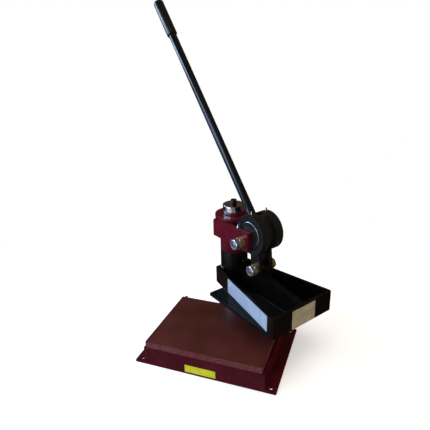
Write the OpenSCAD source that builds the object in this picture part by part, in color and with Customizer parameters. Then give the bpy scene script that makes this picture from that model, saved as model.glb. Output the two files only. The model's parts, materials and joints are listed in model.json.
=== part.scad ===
// Hand lever clicker press: a beam with a platen swings and slides on a post behind a cutting pad,
// and a lever with an eccentric hub presses it down through two ring straps.

/* [Base] */
// Width of the base box across its front plate
base_w = 457.2; // [420:0.1:500]
// Depth of the base box, front plate to rear plate
base_d = 330.2; // [300:0.1:360]
// Height of the base box
base_h = 79.4; // [70:0.1:95]
// Thickness of the base plates and side angles
plate_t = 9.5; // [7:0.1:12]
// Width of a foot flange, from the box side to its outer edge
foot_w = 50.8; // [46:0.1:60]
// Length of the side angles, front to back
foot_l = 381; // [365:0.1:420]
// Step from the box top down to the top of a side angle
leg_drop = 3.2; // [1:0.1:10]
// Diameter of a bench bolt hole
foot_hole_d = 14.3; // [10:0.1:17]
// Distance from the box side to a bench bolt hole
foot_hole_out = 28.6; // [26:0.1:34]
// Distance from a flange end to a bench bolt hole
foot_hole_in = 19; // [14:0.1:30]
// Number of ribs under the deck
rib_count = 3; // [2:1:5]
// Distance from the box side to a lifting notch in the front plate
notch_in = 52; // [30:0.5:90]
// Width of a lifting notch
notch_w = 12; // [8:0.5:20]
// Height of a lifting notch
notch_h = 4; // [2:0.5:6]

/* [Cutting pad] */
// Thickness of the cutting pad
pad_t = 25.4; // [19:0.1:38]
// Diameter of a pad screw
pad_screw_d = 6.4; // [5:0.1:8]
// Distance from the pad edges to a pad screw
pad_screw_in = 55; // [40:0.5:80]
// Depth of a pad screw in the pad
pad_screw_depth = 14; // [8:0.5:18]
// Width across flats of a pad screw head
pad_screw_af = 11; // [9:0.1:14]
// Height of a pad screw head
pad_screw_head = 4.5; // [3:0.1:6]

/* [Post] */
// Diameter of the post where the sleeve slides
post_d = 76.2; // [72:0.1:80]
// Diameter of the post neck inside the head
neck_d = 63.5; // [58:0.1:66]
// Outside diameter of the post socket
socket_od = 101.6; // [96:0.1:110]
// Height of the post socket above the heel plate
socket_h = 95; // [75:0.5:105]
// Width of the heel plate
heel_w = 304.8; // [260:0.1:400]
// Thickness of the heel plate
heel_t = 12.7; // [9:0.1:16]
// Reach of the heel plate behind the post axis
heel_back = 70; // [60:0.5:90]
// Length of a heel gusset along the heel plate
gusset_l = 82; // [50:0.5:95]
// Height of a heel gusset
gusset_h = 74; // [40:0.5:90]
// Diameter of a socket set screw
set_screw_d = 12; // [8:0.1:16]
// Length that a set screw stands out of the socket
set_screw_out = 6; // [2:0.5:12]
// Diameter of the post cap
cap_d = 88.9; // [82:0.1:100]
// Height of the post cap
cap_h = 38.7; // [30:0.1:50]
// Chamfer on the post cap
cap_chamfer = 1.5; // [0.5:0.1:4]
// Diameter of the cap screw
cap_screw_d = 15.9; // [12:0.1:20]
// Diameter of the cap screw head
cap_screw_head_d = 24.4; // [22:0.1:32]
// Height of the cap screw head
cap_screw_head_h = 18.5; // [12:0.1:22]
// Depth of the cap screw in the post
cap_screw_depth = 35; // [20:0.5:60]

/* [Head] */
// Outside diameter of the head tube and of the sleeve
head_od = 114.3; // [110:0.1:120]
// Wall of the bronze bushes
bush_t = 6.35; // [5:0.05:8]
// Length of a bronze bush
bush_l = 45; // [30:0.5:60]
// Height of the ears above the bottom of the head tube
ear_up = 63.9; // [50:0.1:80]
// Height of an ear
ear_h = 76.2; // [70:0.1:85]
// Thickness of an ear
ear_t = 19.05; // [16:0.05:24]
// Depth of the ears' seat in the side of the head tube
ear_bite = 1.6; // [1:0.1:4]
// Reach of the ears behind the post axis
ear_back = 42; // [30:0.5:55]
// Reach of the ears in front of the post axis
ear_front = 175; // [168:0.5:190]
// Distance from the post axis to an ear's grease fitting
ear_fitting_u = 109; // [95:0.5:125]
// Chamfer on the rear top corner of an ear
ear_chamfer = 10; // [2:0.5:20]
// Diameter of the head flange
flange_d = 152.4; // [145:0.1:156]
// Thickness of the head flange
flange_t = 15.9; // [12:0.1:20]
// Diameter of a flange screw
flange_screw_d = 10; // [8:0.1:14]
// Radius of the circle that the flange screws stand on
flange_screw_at = 48; // [46:0.5:52]
// Thickness of the thrust washer on the post shoulder
thrust_t = 3.2; // [2:0.1:5]

/* [Eccentric] */
// Distance from the post axis to the shaft bolt
shaft_u = 144; // [140:0.5:150]
// Height of the shaft bolt above the bottom of the ears
shaft_up = 33.1; // [28:0.1:40]
// Diameter of the shaft bolt and of the pin bolt
bolt_d = 25.4; // [22:0.1:27]
// Distance from the shaft bolt to the centre of the eccentric
ecc = 31.75; // [26:0.05:33]
// Direction of the eccentric's centre at rest, from the beam direction upwards
ecc_angle = 58; // [45:0.5:65]
// Outside diameter of a strap ring
ring_od = 152.4; // [146:0.1:158]
// Bore of a strap ring
ring_id = 114.3; // [110:0.1:118]
// Diameter of the drum between the rings
drum_d = 132; // [124:0.1:140]
// Diameter of the round faces that show inside the rings
boss_d = 106; // [102:0.1:108]
// Depth of the groove round a hub face
groove_depth = 4.5; // [2:0.1:8]
// Height of a hub face above its ring
boss_proud = 1.5; // [0.5:0.1:3]
// Chamfer round a hub face
boss_chamfer = 2.5; // [0.5:0.1:4]
// Thickness of a shaft washer
shaft_washer_t = 2.5; // [1.5:0.1:4]
// Diameter of a shaft washer
shaft_washer_d = 50; // [40:0.5:60]
// Wall of the hub bush
hub_bush_t = 3.2; // [2:0.1:4]

/* [Lever] */
// Backward lean of the lever at rest
lever_lean = 38.4; // [20:0.1:50]
// Distance from the eccentric's centre to the lever tip
lever_len = 1094; // [900:1:1300]
// Outside diameter of the lever tube
lever_od = 33.4; // [31:0.1:35]
// Bore of the lever tube
lever_id = 24.3; // [22:0.1:27]
// Turn of the lever from its back stop to full pressure
lever_travel = 120; // [90:1:125]
// Distance from the eccentric's centre to the inner end of the lever stub
stub_in = 30; // [24:0.5:40]
// Distance from the eccentric's centre to the outer end of the lever stub
stub_out = 170; // [130:0.5:220]
// Diameter of the lever pin
lever_pin_d = 8; // [6:0.1:10]
// Distance from the eccentric's centre to the lever pin
lever_pin_at = 110; // [85:0.5:120]
// Diameter of the grip
grip_d = 44; // [39:0.1:50]
// Length of the grip
grip_l = 171; // [120:1:220]
// Thickness of the grip's closed end
grip_end = 6; // [4:0.5:12]
// Radius of the grip's rounded edges
grip_round = 4; // [1:0.5:4.5]

/* [Straps] */
// Distance from the post axis to the pin bolt
pin_u = 176.5; // [172:0.5:184]
// Height of the pin bolt above the underside of the platen
pin_up = 144.3; // [138:0.1:150]
// Width of a strap bar
bar_w = 50.8; // [46:0.1:58]
// Thickness of a strap bar
bar_t = 15.9; // [12:0.1:18]
// Width across flats of the large nuts and bolt heads
nut_af = 38.1; // [36:0.1:41]
// Height of a shaft nut
nut_h = 21; // [18:0.1:25]
// Height of a pin nut
pin_nut_h = 16; // [12:0.1:20]
// Height of a large bolt head
bolt_head_h = 15.9; // [12:0.1:20]
// Depth of the bolt end inside its outer nut
bolt_recess = 2; // [0.5:0.1:5]
// Diameter of the pin washer
washer_d = 44; // [40:0.5:50]
// Thickness of the pin washer
washer_t = 8; // [3:0.1:10]
// Diameter of a pin spacer
spacer_d = 38; // [34:0.5:44]
// Diameter of a grease fitting
fitting_d = 9.5; // [8:0.1:12]
// Height of a grease fitting
fitting_h = 14.5; // [9:0.1:18]
// Diameter of a grease fitting's stem
stem_d = 6; // [4:0.1:7]
// Length of a grease fitting's stem
stem_l = 7; // [4:0.1:9]
// Direction of the near strap's grease fitting, from the beam direction upwards
near_fitting_angle = 95; // [60:1:120]
// Direction of the far strap's grease fitting, from the beam direction upwards
far_fitting_angle = 92; // [60:1:120]

/* [Beam] */
// Direction of the beam, from the base's right
beam_angle = -33.1; // [-90:0.1:0]
// Clear height between the cutting pad and the platen
daylight = 89.9; // [80:0.1:110]
// Thickness of the platen
platen_t = 12.9; // [10:0.1:16]
// Width of the platen
platen_w = 299.6; // [260:0.1:340]
// Distance from the post axis to the platen's rear edge
platen_back = 26.7; // [10:0.1:45]
// Distance from the post axis to the outer face of the end wall
beam_len = 400; // [370:0.5:440]
// Thickness of the beam walls
wall_t = 9.5; // [6:0.1:12]
// Height of the beam walls above the platen
wall_h = 72; // [60:0.1:85]
// Reach of the beam walls behind the post axis
wall_back = 31.5; // [24:0.5:36]
// Length of the webs between the sleeve and the rear ends of the walls
rear_web_l = 40; // [12:0.5:60]
// Width of the beam across the rear ends of its walls
tail_w = 147.2; // [144:0.1:170]
// Length of the sleeve
sleeve_l = 161.3; // [150:0.1:180]
// Gap between the sleeve and the head tube
sleeve_gap = 1; // [0.5:0.1:3]
// Thickness of the centre web
web_t = 19; // [14:0.1:22]
// Height of the web's shoulders above the beam walls
web_rise = 27; // [10:0.5:32]
// Width of the web's shoulders on each side of the lug
web_shoulder = 5; // [3:0.5:20]
// Wall of the lug round its slot
lug_wall = 9; // [7:0.5:18]
// Clearance round the pin bolt in the lug's slot
slot_gap = 2.5; // [2.2:0.1:4]
// Height of the sleeve's grease fitting above the underside of the platen
sleeve_fitting_up = 123; // [105:0.5:140]

/* [Plates] */
// Thickness of the blank sign plates
sign_t = 1; // [0.6:0.1:2]
// Distance from the wall's rear end to the wall sign
wall_sign_at = 109; // [90:0.5:120]
// Length of the wall sign
wall_sign_l = 296; // [200:0.5:300]
// Height of the wall sign
wall_sign_h = 63; // [40:0.5:68]
// Height of the wall sign above the platen
wall_sign_up = 4; // [1:0.5:6]
// Width of the end sign
end_sign_w = 118; // [80:0.5:160]
// Height of the end sign
end_sign_h = 76; // [50:0.5:80]
// Offset of the end sign from the middle of the end wall
end_sign_off = 3; // [-40:0.5:40]
// Height of the end sign above the underside of the platen
end_sign_up = 1.5; // [0.5:0.5:4]
// Width of the front label
label_w = 122; // [80:0.5:160]
// Height of the front label
label_h = 31; // [20:0.5:50]
// Offset of the front label from the middle of the front plate
label_off = -8; // [-80:0.5:80]
// Height of the front label above the bench
label_up = 9; // [4:0.5:30]

/* [Hidden] */
$fn = 96;

// Colours
maroon = "#561422";
black_paint = "#16171a";
pad_brown = "#4c231c";
bright_steel = "#b9b6ae";
zinc = "#c9ccd0";
yellow_zinc = "#a8935a";
bronze = "#a9783a";
black_oxide = "#202124";
rubber_black = "#1b1c1f";

// Fits and allowances
run_fit = 0.05;  // radial clearance of a running fit
still_fit = 0.05;  // radial clearance of a bolt, stem or spigot that stays put
free_gap = 0.3;  // clearance between faces that pass each other
cut = 1;  // overrun of a cutting tool past the face it cuts
recess = 0.6;  // depth of a sunk screw below its face
socket_part = 0.55;  // hexagon socket width as a part of the screw head
hex_face = 0.96;  // turned face of a hexagon as a part of its width across flats
drum_side = 0.5;  // reach of the drum past each side of the lever tube
nut_turn = 20;  // turn of the outer nuts on their bolts
set_screw_turns = [60, 120];  // directions of the set screws, from the base's right
flange_screw_turns = [45, 225];  // directions of the flange screws, from the beam
fitting_hex = 0.4;  // hexagon of a grease fitting as a part of its height
fitting_neck = 0.65;  // narrow neck of a grease fitting as a part of its height
fitting_ball = 0.85;  // ball end of a grease fitting as a part of its height
neck_part = 0.75;  // neck of a grease fitting as a part of its stem

// Base levels and places, with the origin in the middle of the bench bolt holes
box_front = -foot_l / 2;
box_back = box_front + base_d;
post_y = box_back + socket_od / 2 + free_gap;
leg_h = base_h - leg_drop;
hole_x = base_w / 2 + foot_hole_out;
hole_y = foot_l / 2 - foot_hole_in;
deck_z = base_h - plate_t;
pad_top = base_h + pad_t;
pad_mid_y = box_front + base_d / 2;
pad_screw_x = base_w / 2 - pad_screw_in;
pad_screw_y = base_d / 2 - pad_screw_in;
socket_id = post_d + 2 * still_fit;

// Beam and head levels
platen_z = pad_top + daylight;
platen_top = platen_z + platen_t;
wall_top = platen_top + wall_h;
sleeve_top = platen_z + sleeve_l;
head_z = sleeve_top + sleeve_gap;
shoulder_z = head_z - thrust_t;
ear_z = head_z + ear_up;
ear_top = ear_z + ear_h;
flange_top = ear_top + flange_t;
neck_top = flange_top + free_gap;
cap_top = neck_top + cap_h;

// Head and hub widths, counted from the middle plane of the beam
head_r = head_od / 2;
ear_in = head_r - ear_bite;
ear_out = ear_in + ear_t;
boss_out = ear_in - shaft_washer_t - run_fit;
ring_out = boss_out - boss_proud;
drum_half = lever_od / 2 + drum_side;
ring_in = drum_half + free_gap;
ring_mid = (ring_in + ring_out) / 2;
bearing_out = ring_out - groove_depth;
bar_out = ring_in + bar_t;

// Eccentric, lever and pin places
bolt_r = bolt_d / 2;
shaft_z = ear_z + shaft_up;
ecc_u = shaft_u + ecc * cos(ecc_angle);
ecc_z = shaft_z + ecc * sin(ecc_angle);
hub_bush_r = bolt_r + run_fit + hub_bush_t;
bearing_r = ring_id / 2 - run_fit;
drum_r = drum_d / 2;
stub_r = lever_id / 2 - still_fit;
lever_from = drum_r + free_gap;
pin_z = platen_z + pin_up;
pin_du = pin_u - ecc_u;
pin_dz = pin_z - ecc_z;
strap_l = norm([pin_du, pin_dz]);
strap_dir = atan2(pin_dz, pin_du);

// Slot of the lug: the pin moves forward and back in it as the eccentric turns
slot_back = min(0, ecc * (cos(lever_travel - ecc_angle) - cos(ecc_angle)));
slot_front = ecc * (1 - cos(ecc_angle));
slot_r = bolt_r + slot_gap;
lug_r = slot_r + lug_wall;

// Beam plan
end_in = beam_len - wall_t;
wall_run = end_in + wall_back;
wall_flare = (platen_w - tail_w) / 2;
wall_taper = atan(wall_flare / wall_run);
wall_across = wall_t / cos(wall_taper);
sleeve_id = post_d + 2 * bush_t;
head_id = neck_d + 2 * bush_t;

// Placing helpers

// The beam's frame: x along the beam, y to its far side
module swung() {
    translate([0, post_y, 0]) rotate([0, 0, beam_angle]) children();
}

// A drawing in the beam's middle plane: x along the beam, y up, z to the near side
module across(u, z) {
    swung() translate([u, 0, z]) rotate([90, 0, 0]) children();
}

// The lever's frame: z along the lever from the eccentric's centre, -x to the near side
module along_lever() {
    across(ecc_u, ecc_z) rotate([0, 0, 90 + lever_lean]) rotate([0, 90, 0]) children();
}

// A flat shape as thick as the step from one plane to the other
module slab(from, to) {
    translate([0, 0, from]) linear_extrude(to - from) children();
}

// Shapes that repeat

module pipe(r_out, r_in, from, to) {
    difference() {
        translate([0, 0, from]) cylinder(r = r_out, h = to - from);
        translate([0, 0, from - cut]) cylinder(r = r_in, h = to - from + 2 * cut);
    }
}

// A hexagon with its outer corners turned off at the top face
module hexagon(af, h) {
    corner = af / cos(30) / 2;
    face = af / 2 * hex_face;
    drop = (corner - face) * tan(30);
    intersection() {
        cylinder(r = corner, h = h, $fn = 6);
        rotate_extrude() polygon([[0, 0], [corner, 0], [corner, h - drop], [face, h], [0, h]]);
    }
}

module hex_nut(af, h, bore_r) {
    difference() {
        hexagon(af, h);
        translate([0, 0, -cut]) cylinder(r = bore_r, h = h + 2 * cut);
    }
}

// A bolt along z, its head below z = 0
module hex_bolt(d, length, af, head_h) {
    cylinder(d = d, h = length);
    rotate([180, 0, 0]) hexagon(af, head_h);
}

// A screw sunk in a face at z = 0, with a hexagon socket
module sunk_screw(d, length) {
    difference() {
        translate([0, 0, -length]) cylinder(d = d, h = length - recess);
        translate([0, 0, -recess - d / 2]) cylinder(d = d * socket_part, h = d, $fn = 6);
    }
}

// A grease fitting whose shoulder is at z = 0
module fitting() {
    r = fitting_d / 2;
    stem_r = stem_d / 2;
    neck_r = stem_r * neck_part;
    rotate_extrude() polygon([[0, -stem_l], [stem_r, -stem_l], [stem_r, 0], [r, 0],
        [r, fitting_h * fitting_hex], [neck_r, fitting_h * fitting_neck],
        [stem_r, fitting_h * fitting_ball], [neck_r, fitting_h], [0, fitting_h]]);
}

// The hole for a grease fitting's stem
module fitting_hole() {
    translate([0, 0, -stem_l - free_gap]) cylinder(d = stem_d + 2 * still_fit, h = stem_l + cut);
}

// A round-ended slot, from one centre to the other
module slot_shape(from, to, r) {
    translate([from, 0]) circle(r = r);
    translate([to, 0]) circle(r = r);
    translate([from, -r]) square([to - from, 2 * r]);
}

// Base

module bench_holes() {
    for (x = [-hole_x, hole_x], y = [-hole_y, hole_y])
        translate([x, y, -cut]) cylinder(d = foot_hole_d, h = plate_t + 2 * cut);
}

// An angle along the box side, with its upright leg against the box
module side_angle() {
    translate([base_w / 2, box_front, 0]) {
        cube([foot_w, foot_l, plate_t]);
        cube([plate_t, foot_l, leg_h]);
    }
}

module right_side_angle() {
    color(maroon) difference() {
        side_angle();
        bench_holes();
    }
}

module left_side_angle() {
    color(maroon) difference() {
        mirror([1, 0, 0]) side_angle();
        bench_holes();
    }
}

module front_plate() {
    color(maroon) difference() {
        translate([-base_w / 2, box_front, 0]) cube([base_w, plate_t, base_h]);
        for (side = [-1, 1])
            translate([side * (base_w / 2 - notch_in) - notch_w / 2, box_front - cut, base_h - notch_h])
                cube([notch_w, plate_t / 2 + cut, notch_h + cut]);
    }
}

module rear_plate() {
    color(maroon) translate([-base_w / 2, box_back - plate_t, 0]) cube([base_w, plate_t, base_h]);
}

module at_pad_screws() {
    for (x = [-1, 1], y = [-1, 1])
        translate([x * pad_screw_x, pad_mid_y + y * pad_screw_y, deck_z]) children();
}

module deck_plate() {
    color(maroon) difference() {
        translate([-base_w / 2, box_front + plate_t, deck_z]) cube([base_w, base_d - 2 * plate_t, plate_t]);
        at_pad_screws() translate([0, 0, -cut])
            cylinder(d = pad_screw_d + 2 * free_gap, h = plate_t + 2 * cut);
    }
}

module deck_ribs() {
    pitch = base_w / (rib_count + 1);
    color(maroon) for (i = [1 : rib_count])
        translate([-base_w / 2 + i * pitch - plate_t / 2, box_front + plate_t, 0])
            cube([plate_t, base_d - 2 * plate_t, deck_z]);
}

module cutting_pad() {
    color(pad_brown) difference() {
        translate([-base_w / 2, box_front, base_h]) cube([base_w, base_d, pad_t]);
        at_pad_screws() translate([0, 0, plate_t - cut])
            cylinder(d = pad_screw_d + 2 * still_fit, h = pad_screw_depth + cut + free_gap);
    }
}

module pad_screws() {
    color(zinc) at_pad_screws()
        hex_bolt(pad_screw_d, plate_t + pad_screw_depth, pad_screw_af, pad_screw_head);
}

module front_label() {
    color("#d8c81e") translate([label_off - label_w / 2, box_front - sign_t, label_up])
        cube([label_w, sign_t, label_h]);
}

module heel_plate() {
    color(maroon) translate([-heel_w / 2, box_back, 0])
        cube([heel_w, post_y + heel_back - box_back, heel_t]);
}

module at_set_screws() {
    for (turn = set_screw_turns)
        translate([0, post_y, heel_t + socket_h / 2]) rotate([0, 0, turn]) rotate([0, 90, 0]) children();
}

module post_socket() {
    color(maroon) difference() {
        translate([0, post_y, 0]) pipe(socket_od / 2, socket_id / 2, heel_t, heel_t + socket_h);
        at_set_screws() cylinder(d = set_screw_d + 2 * still_fit, h = socket_od);
    }
}

module heel_gussets() {
    color(maroon) for (side = [0, 1]) mirror([side, 0, 0]) difference() {
        translate([0, post_y + plate_t / 2, heel_t]) rotate([90, 0, 0]) linear_extrude(plate_t)
            polygon([[0, 0], [socket_od / 2 + gusset_l, 0], [socket_od / 2 + gusset_l, plate_t],
                [socket_od / 2, gusset_h], [0, gusset_h]]);
        translate([0, post_y, 0]) cylinder(d = socket_od, h = heel_t + socket_h);
    }
}

module socket_set_screws() {
    reach = socket_od / 2 + set_screw_out;
    color(black_oxide) at_set_screws() difference() {
        translate([0, 0, post_d / 2]) cylinder(d = set_screw_d, h = reach - post_d / 2);
        translate([0, 0, reach - set_screw_d / 2])
            cylinder(d = set_screw_d * socket_part, h = set_screw_d, $fn = 6);
    }
}

module post() {
    color(bright_steel) translate([0, post_y, 0]) difference() {
        union() {
            translate([0, 0, heel_t]) cylinder(d = post_d, h = shoulder_z - heel_t);
            translate([0, 0, heel_t]) cylinder(d = neck_d, h = neck_top - heel_t);
        }
        translate([0, 0, neck_top - cap_screw_depth - cut])
            cylinder(d = cap_screw_d + 2 * still_fit, h = cap_screw_depth + 2 * cut);
    }
}

module thrust_washer() {
    color(bronze) translate([0, post_y, 0])
        pipe(post_d / 2, neck_d / 2 + still_fit, shoulder_z, head_z);
}

module post_cap() {
    r = cap_d / 2;
    bore = cap_screw_d / 2 + still_fit;
    color(bright_steel) translate([0, post_y, neck_top]) rotate_extrude()
        polygon([[bore, 0], [r - cap_chamfer, 0], [r, cap_chamfer], [r, cap_h - cap_chamfer],
            [r - cap_chamfer, cap_h], [bore, cap_h]]);
}

module cap_screw() {
    color(black_oxide) translate([0, post_y, cap_top]) difference() {
        union() {
            cylinder(d = cap_screw_head_d, h = cap_screw_head_h);
            translate([0, 0, -cap_h - cap_screw_depth])
                cylinder(d = cap_screw_d, h = cap_h + cap_screw_depth);
        }
        translate([0, 0, cap_screw_head_h / 2])
            cylinder(d = cap_screw_head_d * socket_part, h = cap_screw_head_h, $fn = 6);
    }
}

// Head

module head_tube() {
    color(maroon) translate([0, post_y, 0]) pipe(head_r, head_id / 2, head_z, ear_top);
}

module at_flange_screws() {
    for (turn = flange_screw_turns)
        swung() rotate([0, 0, turn]) translate([flange_screw_at, 0, flange_top]) children();
}

module head_flange() {
    color(maroon) difference() {
        translate([0, post_y, 0]) pipe(flange_d / 2, neck_d / 2 + free_gap, ear_top, flange_top);
        at_flange_screws() translate([0, 0, -flange_t - cut])
            cylinder(d = flange_screw_d + 2 * still_fit, h = flange_t + 2 * cut);
    }
}

module flange_screws() {
    color(black_oxide) at_flange_screws() sunk_screw(flange_screw_d, flange_t);
}

module at_ear_fittings() {
    for (side = [-1, 1]) swung() translate([ear_fitting_u, side * (ear_in + ear_out) / 2, ear_top])
        children();
}

// An ear plate between two planes, with its seat round the head tube and the shaft hole
module ear(from, to) {
    difference() {
        across(0, 0) slab(from, to) difference() {
            polygon([[-ear_back, ear_z], [ear_front, ear_z], [ear_front, ear_top],
                [ear_chamfer - ear_back, ear_top], [-ear_back, ear_top - ear_chamfer]]);
            translate([shaft_u, shaft_z]) circle(r = bolt_r + still_fit);
        }
        translate([0, post_y, 0]) cylinder(r = head_r, h = flange_top);
        at_ear_fittings() fitting_hole();
    }
}

module near_ear() {
    color(maroon) ear(ear_in, ear_out);
}

module far_ear() {
    color(maroon) ear(-ear_out, -ear_in);
}

module ear_fittings() {
    color(zinc) at_ear_fittings() fitting();
}

module head_bush(from) {
    color(bronze) translate([0, post_y, 0])
        pipe(head_id / 2, neck_d / 2 + run_fit, from, from + bush_l);
}

module head_bush_upper() {
    head_bush(ear_top - bush_l);
}

module head_bush_lower() {
    head_bush(head_z);
}

module shaft_bolt() {
    color(yellow_zinc) across(shaft_u, shaft_z) translate([0, 0, -ear_out])
        hex_bolt(bolt_d, 2 * ear_out + 2 * nut_h - bolt_recess, nut_af, bolt_head_h);
}

module shaft_nut() {
    color(yellow_zinc) across(shaft_u, shaft_z) translate([0, 0, ear_out])
        hex_nut(nut_af, nut_h, bolt_r + still_fit);
}

module shaft_lock_nut() {
    color(zinc) across(shaft_u, shaft_z) translate([0, 0, ear_out + nut_h]) rotate([0, 0, nut_turn])
        hex_nut(nut_af, nut_h, bolt_r + still_fit);
}

module shaft_washers() {
    color(bronze) across(shaft_u, shaft_z) for (side = [0, 1]) mirror([0, 0, side])
        pipe(shaft_washer_d / 2, bolt_r + still_fit, ear_in - shaft_washer_t, ear_in);
}

// Lever

module lever_pin_axis() {
    along_lever() translate([0, 0, lever_pin_at]) rotate([0, 90, 0]) children();
}

module lever_pin_hole() {
    lever_pin_axis() translate([0, 0, -lever_od])
        cylinder(d = lever_pin_d + 2 * still_fit, h = 2 * lever_od);
}

module eccentric_hub() {
    color(black_paint) difference() {
        across(ecc_u, ecc_z) {
            slab(-drum_half, drum_half) circle(r = drum_r);
            slab(-bearing_out, bearing_out) circle(r = bearing_r);
            rotate_extrude() polygon([[0, -boss_out], [boss_d / 2 - boss_chamfer, -boss_out],
                [boss_d / 2, boss_chamfer - boss_out], [boss_d / 2, boss_out - boss_chamfer],
                [boss_d / 2 - boss_chamfer, boss_out], [0, boss_out]]);
        }
        across(shaft_u, shaft_z) slab(-boss_out - cut, boss_out + cut) circle(r = hub_bush_r);
        along_lever() translate([0, 0, stub_in]) cylinder(r = stub_r + still_fit, h = drum_d);
    }
}

module hub_bush() {
    color(bronze) across(shaft_u, shaft_z) pipe(hub_bush_r, bolt_r + run_fit, -boss_out, boss_out);
}

module lever_stub() {
    color(bright_steel) difference() {
        along_lever() translate([0, 0, stub_in]) cylinder(r = stub_r, h = stub_out - stub_in);
        lever_pin_hole();
    }
}

module lever_tube() {
    color(black_paint) difference() {
        along_lever() pipe(lever_od / 2, lever_id / 2, lever_from, lever_len - grip_end);
        lever_pin_hole();
    }
}

module lever_grip() {
    r = grip_d / 2;
    bore = lever_od / 2 + still_fit;
    from = lever_len - grip_l;
    rounding = [for (a = [0 : 15 : 90])
        [r - grip_round + grip_round * cos(a), lever_len - grip_round + grip_round * sin(a)]];
    color(rubber_black) along_lever() rotate_extrude()
        polygon(concat([[bore, from], [r - grip_round / 2, from], [r, from + grip_round / 2]], rounding,
            [[0, lever_len], [0, lever_len - grip_end], [bore, lever_len - grip_end]]));
}

// A pin through the tube and the stub, just below the tube's surface
module lever_pin() {
    reach = lever_od / 2 - recess;
    color(black_oxide) lever_pin_axis() translate([0, 0, -reach]) cylinder(d = lever_pin_d, h = 2 * reach);
}

// Straps

module at_fitting(turn, side) {
    across(ecc_u, ecc_z) translate([0, 0, side * ring_mid]) rotate([0, 0, turn])
        translate([ring_od / 2, 0, 0]) rotate([0, 90, 0]) children();
}

// A ring on the eccentric with a bar down to the pin bolt
module strap(side, fitting_angle) {
    color(black_paint) difference() {
        across(ecc_u, ecc_z) mirror([0, 0, side < 0 ? 1 : 0]) difference() {
            union() {
                slab(ring_in, ring_out) circle(d = ring_od);
                slab(ring_in, bar_out) rotate(strap_dir) slot_shape(0, strap_l, bar_w / 2);
            }
            slab(ring_in - cut, ring_out + cut) circle(d = ring_id);
            slab(ring_in - cut, bar_out + cut) translate([pin_du, pin_dz]) circle(r = bolt_r + still_fit);
        }
        at_fitting(fitting_angle, side) fitting_hole();
    }
}

module near_strap() {
    strap(1, near_fitting_angle);
}

module far_strap() {
    strap(-1, far_fitting_angle);
}

module strap_fittings() {
    color(zinc) {
        at_fitting(near_fitting_angle, 1) fitting();
        at_fitting(far_fitting_angle, -1) fitting();
    }
}

module pin_bolt() {
    length = 2 * bar_out + washer_t + 2 * pin_nut_h - bolt_recess;
    color(yellow_zinc) across(pin_u, pin_z) translate([0, 0, -bar_out - washer_t])
        hex_bolt(bolt_d, length, nut_af, bolt_head_h);
}

module pin_nut() {
    color(yellow_zinc) across(pin_u, pin_z) translate([0, 0, bar_out])
        hex_nut(nut_af, pin_nut_h, bolt_r + still_fit);
}

module pin_lock_nut() {
    color(zinc) across(pin_u, pin_z) translate([0, 0, bar_out + pin_nut_h]) rotate([0, 0, nut_turn])
        hex_nut(nut_af, pin_nut_h, bolt_r + still_fit);
}

module pin_washer() {
    color(yellow_zinc) across(pin_u, pin_z)
        pipe(washer_d / 2, bolt_r + still_fit, -bar_out - washer_t, -bar_out);
}

module pin_spacers() {
    color(bright_steel) across(pin_u, pin_z) for (side = [0, 1]) mirror([0, 0, side])
        pipe(spacer_d / 2, bolt_r + still_fit, web_t / 2 + free_gap, ring_in);
}

// Beam

module sleeve_space() {
    cylinder(r = head_r, h = sleeve_top);
}

module platen() {
    color(black_paint) swung() difference() {
        translate([platen_back, -platen_w / 2, platen_z]) cube([end_in - platen_back, platen_w, platen_t]);
        sleeve_space();
    }
}

// A side wall of the beam, flaring from the sleeve to the end wall
module side_wall() {
    slab(platen_top, wall_top)
        polygon([[-wall_back, -tail_w / 2], [end_in, -platen_w / 2], [end_in, wall_across - platen_w / 2],
            [-wall_back, wall_across - tail_w / 2]]);
}

module front_wall() {
    color(black_paint) swung() side_wall();
}

module back_wall() {
    color(black_paint) swung() mirror([0, 1, 0]) side_wall();
}

module end_wall() {
    color(black_paint) swung()
        translate([end_in, -platen_w / 2, platen_z]) cube([wall_t, platen_w, wall_top - platen_z]);
}

module rear_webs() {
    narrow = tail_w / 2 - wall_across;
    wide = narrow + rear_web_l * tan(wall_taper);
    front = rear_web_l - wall_back;
    color(black_paint) swung() difference() {
        slab(platen_top, wall_top)
            polygon([[-wall_back, -narrow], [front, -wide], [front, wide], [-wall_back, narrow]]);
        sleeve_space();
    }
}

module centre_web() {
    lug_from = pin_u + slot_back;
    lug_to = pin_u + slot_front;
    shoulder = wall_top + web_rise;
    color(black_paint) difference() {
        across(0, 0) slab(-web_t / 2, web_t / 2) difference() {
            union() {
                polygon([[0, platen_top], [end_in, platen_top], [end_in, wall_top],
                    [lug_to + lug_r + web_shoulder, shoulder], [lug_to + lug_r, pin_z],
                    [lug_from - lug_r, pin_z], [lug_from - lug_r - web_shoulder, shoulder],
                    [head_r, wall_top], [0, wall_top]]);
                translate([0, pin_z]) slot_shape(lug_from, lug_to, lug_r);
            }
            translate([0, pin_z]) slot_shape(lug_from, lug_to, slot_r);
        }
        swung() sleeve_space();
    }
}

module at_sleeve_fitting() {
    swung() translate([head_r, 0, platen_z + sleeve_fitting_up]) rotate([0, 90, 0]) children();
}

module sleeve() {
    color(black_paint) difference() {
        translate([0, post_y, 0]) pipe(head_r, sleeve_id / 2, platen_z, sleeve_top);
        at_sleeve_fitting() fitting_hole();
    }
}

module sleeve_bush(from) {
    color(bronze) translate([0, post_y, 0])
        pipe(sleeve_id / 2, post_d / 2 + run_fit, from, from + bush_l);
}

module sleeve_bush_upper() {
    sleeve_bush(sleeve_top - bush_l);
}

module sleeve_bush_lower() {
    sleeve_bush(platen_z);
}

module sleeve_fitting() {
    color(black_oxide) at_sleeve_fitting() fitting();
}

module wall_sign() {
    color("#c9d2e0") swung() translate([-wall_back, -tail_w / 2, platen_top + wall_sign_up])
        rotate([0, 0, -wall_taper]) translate([wall_sign_at, -sign_t, 0])
            cube([wall_sign_l, sign_t, wall_sign_h]);
}

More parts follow.
